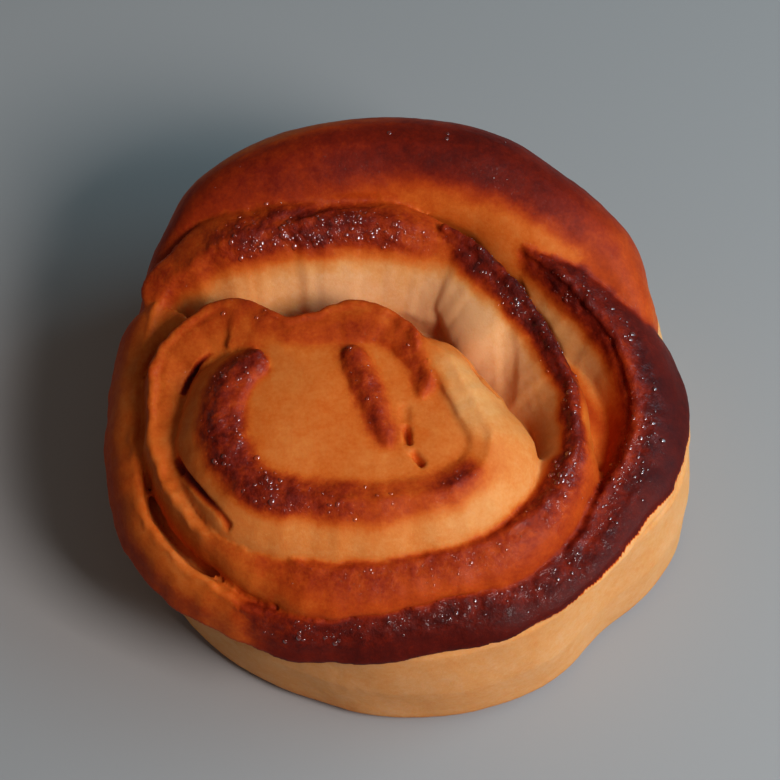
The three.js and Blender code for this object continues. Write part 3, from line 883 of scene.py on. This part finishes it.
tree = bpy.data.node_groups.new("beads_on_a_crust", "GeometryNodeTree")
tree.interface.new_socket("Geometry", in_out="INPUT", socket_type="NodeSocketGeometry")
sockets = {
    name: tree.interface.new_socket(name, in_out="INPUT", socket_type="NodeSocketFloat").identifier
    for name in ("Density", "Smallest", "Largest", "Flatness", "Gathering")
}
tree.interface.new_socket("Geometry", in_out="OUTPUT", socket_type="NodeSocketGeometry")
given = tree.nodes.new("NodeGroupInput").outputs
cracked = add_node(tree, "GeometryNodeInputNamedAttribute", {"data_type": "FLOAT"}, {"Name": "cracks"})
strength = add_node(tree, "ShaderNodeMath", {"operation": "POWER"}, {0: cracked.outputs["Attribute"], 1: 2.0})
gathering = add_node(tree, "ShaderNodeTexNoise", None, {"Scale": given["Gathering"], "Detail": 1.0})
gathered = add_node(tree, "ShaderNodeMapRange", None, {
    "Value": gathering.outputs["Fac"],
    "From Min": GATHERED[0], "From Max": GATHERED[1], "To Min": SCATTERED, "To Max": 1.0,
})
share = add_node(tree, "ShaderNodeMath", {"operation": "MULTIPLY"}, {
    0: strength.outputs[0], 1: gathered.outputs["Result"],
})
density = add_node(tree, "ShaderNodeMath", {"operation": "MULTIPLY"}, {
    0: share.outputs[0], 1: given["Density"],
})
scattered = add_node(tree, "GeometryNodeDistributePointsOnFaces", {"distribute_method": "RANDOM"}, {
    "Mesh": given["Geometry"], "Density": density.outputs[0], "Seed": BEAD_SEED,
})
draw = add_node(tree, "FunctionNodeRandomValue", {"data_type": "FLOAT"}, {
    2: 0.0, 3: 1.0, "Seed": BEAD_SEED + 1,
})
mostly_small = add_node(tree, "ShaderNodeMath", {"operation": "POWER"}, {0: draw.outputs[1], 1: MOST_SMALL})
radius = add_node(tree, "ShaderNodeMapRange", None, {
    "Value": mostly_small.outputs[0], "From Min": 0.0, "From Max": 1.0,
    "To Min": given["Smallest"], "To Max": given["Largest"],
})
height = add_node(tree, "ShaderNodeMath", {"operation": "MULTIPLY"}, {
    0: radius.outputs["Result"], 1: given["Flatness"],
})
stretch = add_node(tree, "FunctionNodeRandomValue", {"data_type": "FLOAT"}, {
    2: BEAD_STRETCH[0], 3: BEAD_STRETCH[1], "Seed": BEAD_SEED + 2,
})
length = add_node(tree, "ShaderNodeMath", {"operation": "MULTIPLY"}, {
    0: radius.outputs["Result"], 1: stretch.outputs[1],
})
size = add_node(tree, "ShaderNodeCombineXYZ", None, {
    "X": radius.outputs["Result"], "Y": length.outputs[0], "Z": height.outputs[0],
})
bead = add_node(tree, "GeometryNodeMeshUVSphere", None, {
    "Segments": BEAD_SIDES, "Rings": BEAD_RINGS, "Radius": 1.0,
})
placed = add_node(tree, "GeometryNodeInstanceOnPoints", None, {
    "Points": scattered.outputs["Points"], "Instance": bead.outputs["Mesh"],
    "Rotation": scattered.outputs["Rotation"], "Scale": size.outputs["Vector"],
})
real = add_node(tree, "GeometryNodeRealizeInstances", None, {"Geometry": placed.outputs["Instances"]})
smooth = add_node(tree, "GeometryNodeSetShadeSmooth", None, {"Geometry": real.outputs["Geometry"]})
glazed = add_node(tree, "GeometryNodeSetMaterial", None, {
    "Geometry": smooth.outputs["Geometry"], "Material": set_glaze,
})
add_node(tree, "NodeGroupOutput", None, {"Geometry": glazed.outputs["Geometry"]})

beads = bpy.data.objects.new("glaze_beads", mesh.copy())
bpy.context.scene.collection.objects.link(beads)
with_modifiers(beads, ("NODES", {
    "node_group": tree,
    sockets["Density"]: BEADS_PER_CM2 * 1e4,  # per square metre
    sockets["Smallest"]: BEAD_RADII[0] * MM,
    sockets["Largest"]: BEAD_RADII[1] * MM,
    sockets["Flatness"]: BEAD_FLATNESS,
    sockets["Gathering"]: 1 / (BEADS_TOGETHER * MM),
}))
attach(beads, "root")

# ---- Table, light and camera --------------------------------------------------------------------
# A plain grey painted board under the bun, a small warm lamp in front on the right, cool light
# from a window on the right, a dim warm room, and a camera that looks down on the bun from the
# front at 60 degrees.
TABLE_SIZE = 3.0
CAMERA_TARGET = Vector((-2.8, 3.9, 20.0)) * MM
CAMERA_DISTANCE = 500.0 * MM
CAMERA_ELEVATION = math.radians(60.0)
CAMERA_LENS = 147.7  # focal length in millimetres, for a sensor 36 wide
ROOM_COLOUR = (1.0, 0.875, 0.78, 1.0)
ROOM_STRENGTH = 0.125

table_mesh = bpy.data.meshes.new("table_top")
half = TABLE_SIZE / 2
table_corners = [(-half, -half, 0), (half, -half, 0), (half, half, 0), (-half, half, 0)]
table_mesh.from_pydata(table_corners, [], [(0, 1, 2, 3)])
table_top = bpy.data.objects.new("table_top", table_mesh)
bpy.context.scene.collection.objects.link(table_top)
painted = bpy.data.materials.new("matt_painted_board")
painted.use_nodes = True
board = painted.node_tree.nodes["Principled BSDF"]
board.inputs["Base Color"].default_value = linear("#979797")
board.inputs["Roughness"].default_value = 0.6
table_mesh.materials.append(painted)


def add_lamp(name, turn, height, distance, size, watts, colour):
    """A square soft lamp that faces the bun; turn and height are degrees, turn 0 is the right. Its
    distance and size are metres, and its colour is linear."""
    lamp = bpy.data.lights.new(name, "AREA")
    lamp.size = size
    lamp.energy = watts
    lamp.color = colour
    placed = bpy.data.objects.new(name, lamp)
    turn, height = math.radians(turn), math.radians(height)
    flat = math.cos(height)
    direction = Vector((flat * math.cos(turn), flat * math.sin(turn), math.sin(height)))
    placed.location = CAMERA_TARGET + direction * distance
    placed.rotation_euler = direction.to_track_quat("Z", "Y").to_euler()
    bpy.context.scene.collection.objects.link(placed)


add_lamp(
    "key_lamp", turn=-40, height=45, distance=0.575, size=0.195, watts=2.82, colour=(1.0, 0.934, 0.915)
)
add_lamp(
    "window_light", turn=3, height=33, distance=0.725, size=0.57, watts=3.29, colour=(0.43, 0.805, 1.0)
)

world = bpy.data.worlds.new("room_light")
world.use_nodes = True
room = world.node_tree.nodes["Background"]
room.inputs["Color"].default_value = ROOM_COLOUR
room.inputs["Strength"].default_value = ROOM_STRENGTH
bpy.context.scene.world = world
bpy.context.scene.view_settings.view_transform = "Standard"

lens = bpy.data.cameras.new("camera")
lens.lens = CAMERA_LENS
lens.sensor_width = 36.0
camera = bpy.data.objects.new("camera", lens)
back = Vector((0, -math.cos(CAMERA_ELEVATION), math.sin(CAMERA_ELEVATION)))
camera.location = CAMERA_TARGET + back * CAMERA_DISTANCE
camera.rotation_euler = (math.pi / 2 - CAMERA_ELEVATION, 0, 0)
bpy.context.scene.collection.objects.link(camera)
bpy.context.scene.camera = camera
